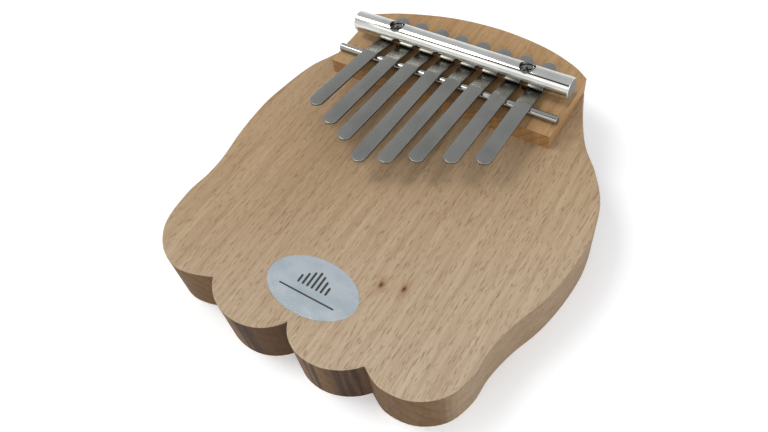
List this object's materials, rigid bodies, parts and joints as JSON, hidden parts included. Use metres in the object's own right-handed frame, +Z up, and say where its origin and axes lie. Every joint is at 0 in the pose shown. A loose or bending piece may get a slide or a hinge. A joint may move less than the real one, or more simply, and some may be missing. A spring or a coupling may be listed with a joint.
{
  "type": "thumb piano",
  "caption": "Thumb piano: steel tines clamped over rods on a paw-shaped beech board; each tine springs back when its rounded tip is pressed.",
  "frame": {"origin": "centre of the bounding box, at the board's flat underside", "axes": "+Y from the toes towards the crest, along the tines; +Z up off the table; +X to the right seen from above with the crest away"},
  "size_m": [0.1324, 0.1488, 0.0371],
  "materials": {
    "beech": "sanded bare beech",
    "pale_wood": "sanded bare wood",
    "polished_steel": "polished",
    "screw_steel": "plated",
    "spring_steel": "satin",
    "foil": "satin foil"
  },
  "bodies": {
    "frame": {"board": "beech", "bridge_plate": "pale_wood", "front_rod": "polished_steel", "rear_rod": "polished_steel", "clamp_bar": "polished_steel", "clamp_screw_left": "screw_steel", "clamp_screw_right": "screw_steel", "maker_label": "foil", "tine_1_root": "spring_steel", "tine_2_root": "spring_steel", "tine_3_root": "spring_steel", "tine_4_root": "spring_steel", "tine_5_root": "spring_steel", "tine_6_root": "spring_steel", "tine_7_root": "spring_steel", "tine_8_root": "spring_steel"},
    "tongue_1": {"tine_1_tongue": "spring_steel"},
    "tongue_2": {"tine_2_tongue": "spring_steel"},
    "tongue_3": {"tine_3_tongue": "spring_steel"},
    "tongue_4": {"tine_4_tongue": "spring_steel"},
    "tongue_5": {"tine_5_tongue": "spring_steel"},
    "tongue_6": {"tine_6_tongue": "spring_steel"},
    "tongue_7": {"tine_7_tongue": "spring_steel"},
    "tongue_8": {"tine_8_tongue": "spring_steel"}
  },
  "joints": [
    {"name": "tine_1_flex", "type": "hinge", "parent": "frame", "child": "tongue_1", "pos_m": [-0.03699, 0.0381, 0.0301], "axis": [1, 0, 0], "range_deg": [-2, 4], "stiffness_Nm_per_rad": 0.2},
    {"name": "tine_2_flex", "type": "hinge", "parent": "frame", "child": "tongue_2", "pos_m": [-0.02773, 0.0381, 0.0301], "axis": [1, 0, 0], "range_deg": [-2, 4], "stiffness_Nm_per_rad": 0.2},
    {"name": "tine_3_flex", "type": "hinge", "parent": "frame", "child": "tongue_3", "pos_m": [-0.01881, 0.0381, 0.0301], "axis": [1, 0, 0], "range_deg": [-2, 4], "stiffness_Nm_per_rad": 0.2},
    {"name": "tine_4_flex", "type": "hinge", "parent": "frame", "child": "tongue_4", "pos_m": [-0.00967, 0.0381, 0.0301], "axis": [1, 0, 0], "range_deg": [-2, 4], "stiffness_Nm_per_rad": 0.2},
    {"name": "tine_5_flex", "type": "hinge", "parent": "frame", "child": "tongue_5", "pos_m": [-0.00087, 0.0381, 0.0301], "axis": [1, 0, 0], "range_deg": [-2, 4], "stiffness_Nm_per_rad": 0.2},
    {"name": "tine_6_flex", "type": "hinge", "parent": "frame", "child": "tongue_6", "pos_m": [0.00797, 0.0381, 0.0301], "axis": [1, 0, 0], "range_deg": [-2, 4], "stiffness_Nm_per_rad": 0.2},
    {"name": "tine_7_flex", "type": "hinge", "parent": "frame", "child": "tongue_7", "pos_m": [0.01719, 0.0381, 0.0301], "axis": [1, 0, 0], "range_deg": [-2, 4], "stiffness_Nm_per_rad": 0.2},
    {"name": "tine_8_flex", "type": "hinge", "parent": "frame", "child": "tongue_8", "pos_m": [0.02627, 0.0381, 0.0301], "axis": [1, 0, 0], "range_deg": [-2, 4], "stiffness_Nm_per_rad": 0.2}
  ]
}
